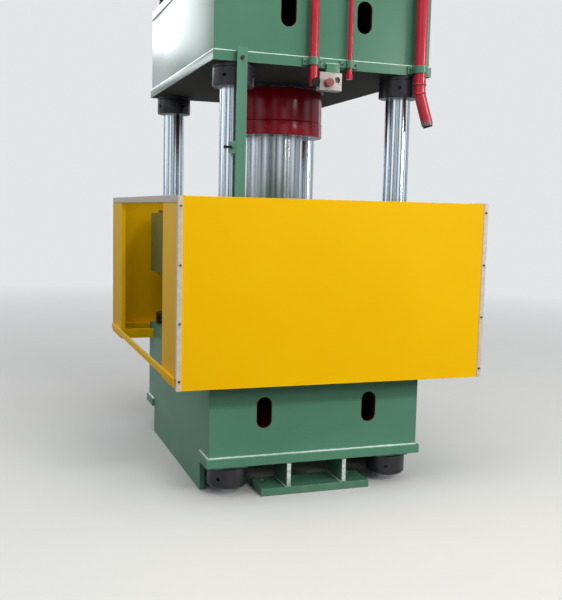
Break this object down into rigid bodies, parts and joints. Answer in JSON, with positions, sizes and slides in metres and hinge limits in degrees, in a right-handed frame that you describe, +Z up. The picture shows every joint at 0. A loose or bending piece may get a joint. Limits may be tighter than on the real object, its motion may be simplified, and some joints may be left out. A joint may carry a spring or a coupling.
{
  "type": "four-column hydraulic press",
  "caption": "Upright hydraulic press with welded crown and bed, plated guide columns, a crosshead driven by a main cylinder, a bed ejector, front pipework and a sheet metal guard",
  "frame": {"origin": "on the floor, at the middle of the foundation bolt holes, below the axis of the ram", "axes": "+X to the right along the front guard, +Y from the front guard to the back one, +Z up"},
  "size_m": [1.87, 2.296, 3.535],
  "materials": {
    "green_paint": "grey green machine enamel, satin, worn at the edges",
    "yellow_paint": "safety yellow enamel, satin",
    "corner_strip": "pale painted steel angle",
    "column_chrome": "hard chrome plate, ground and polished",
    "ram_chrome": "hard chrome plate, ground",
    "black_oxide": "turned steel, black oxide",
    "red_paint": "red enamel, satin",
    "dark_steel": "turned steel, oiled",
    "bright_steel": "machined steel",
    "bronze": "turned bronze",
    "seal_rubber": "moulded nitrile rubber",
    "switch_plastic": "moulded black plastic"
  },
  "bodies": {
    "frame": {"bed": "green_paint", "crown": "green_paint", "front_foot": "green_paint", "back_foot": "green_paint", "block_hanger": "green_paint", "bed_nut_pads": "green_paint", "stroke_bar": "green_paint", "pipe_clamps": "green_paint", "switch_plates": "green_paint", "limit_switches": "green_paint", "front_guard": "yellow_paint", "back_guard": "yellow_paint", "guard_rails": "yellow_paint", "guard_arms": "yellow_paint", "guard_corner_strips": "corner_strip", "column_front_left": "column_chrome", "column_front_right": "column_chrome", "column_back_left": "column_chrome", "column_back_right": "column_chrome", "crown_under_nuts": "black_oxide", "crown_top_nuts": "black_oxide", "bed_top_nuts": "black_oxide", "bed_under_nuts": "black_oxide", "crown_washers": "black_oxide", "cylinder_locknut_washer": "black_oxide", "clamp_bolts": "black_oxide", "bar_bolts": "black_oxide", "guard_bolts": "black_oxide", "main_cylinder": "red_paint", "cylinder_locknut": "red_paint", "large_pipe": "red_paint", "large_pipe_tail": "red_paint", "medium_pipe": "red_paint", "small_pipe": "red_paint", "pipe_header": "red_paint", "block_stub": "red_paint", "small_pipe_nut": "red_paint", "cylinder_gland": "red_paint", "prefill_valve": "dark_steel", "gland_bolts": "dark_steel", "valve_bolts": "dark_steel", "port_block": "bright_steel", "ejector_cylinder": "bright_steel", "ram_guide_ring": "bronze", "rod_wiper": "seal_rubber", "rod_seal": "seal_rubber", "pipe_caps": "switch_plastic"},
    "slide": {"ram": "ram_chrome", "piston": "bright_steel", "piston_nut": "bright_steel", "crosshead": "green_paint", "upper_guide_bushes": "bronze", "lower_guide_bushes": "bronze", "ram_ring": "black_oxide", "ram_ring_bolts": "dark_steel", "trip_dog": "bright_steel"},
    "ejector": {"ejector_plate": "bright_steel", "ejector_rod": "bright_steel"},
    "upper_lever": {"upper_switch_lever": "switch_plastic"},
    "lower_lever": {"lower_switch_lever": "switch_plastic"}
  },
  "joints": [
    {"name": "press_slide", "type": "slide", "parent": "frame", "child": "slide", "axis": [0, 0, 1], "range_m": [-0.27, 0.43]},
    {"name": "ejector_slide", "type": "slide", "parent": "frame", "child": "ejector", "axis": [0, 0, 1], "range_m": [0, 0.1]},
    {"name": "upper_lever_hinge", "type": "hinge", "parent": "frame", "child": "upper_lever", "pos_m": [-0.56, -0.949, 1.99344], "axis": [0, 1, 0], "range_deg": [-25, 25], "stiffness_Nm_per_rad": 0.3},
    {"name": "lower_lever_hinge", "type": "hinge", "parent": "frame", "child": "lower_lever", "pos_m": [-0.56, -0.949, 1.16656], "axis": [0, 1, 0], "range_deg": [-25, 25], "stiffness_Nm_per_rad": 0.3}
  ]
}
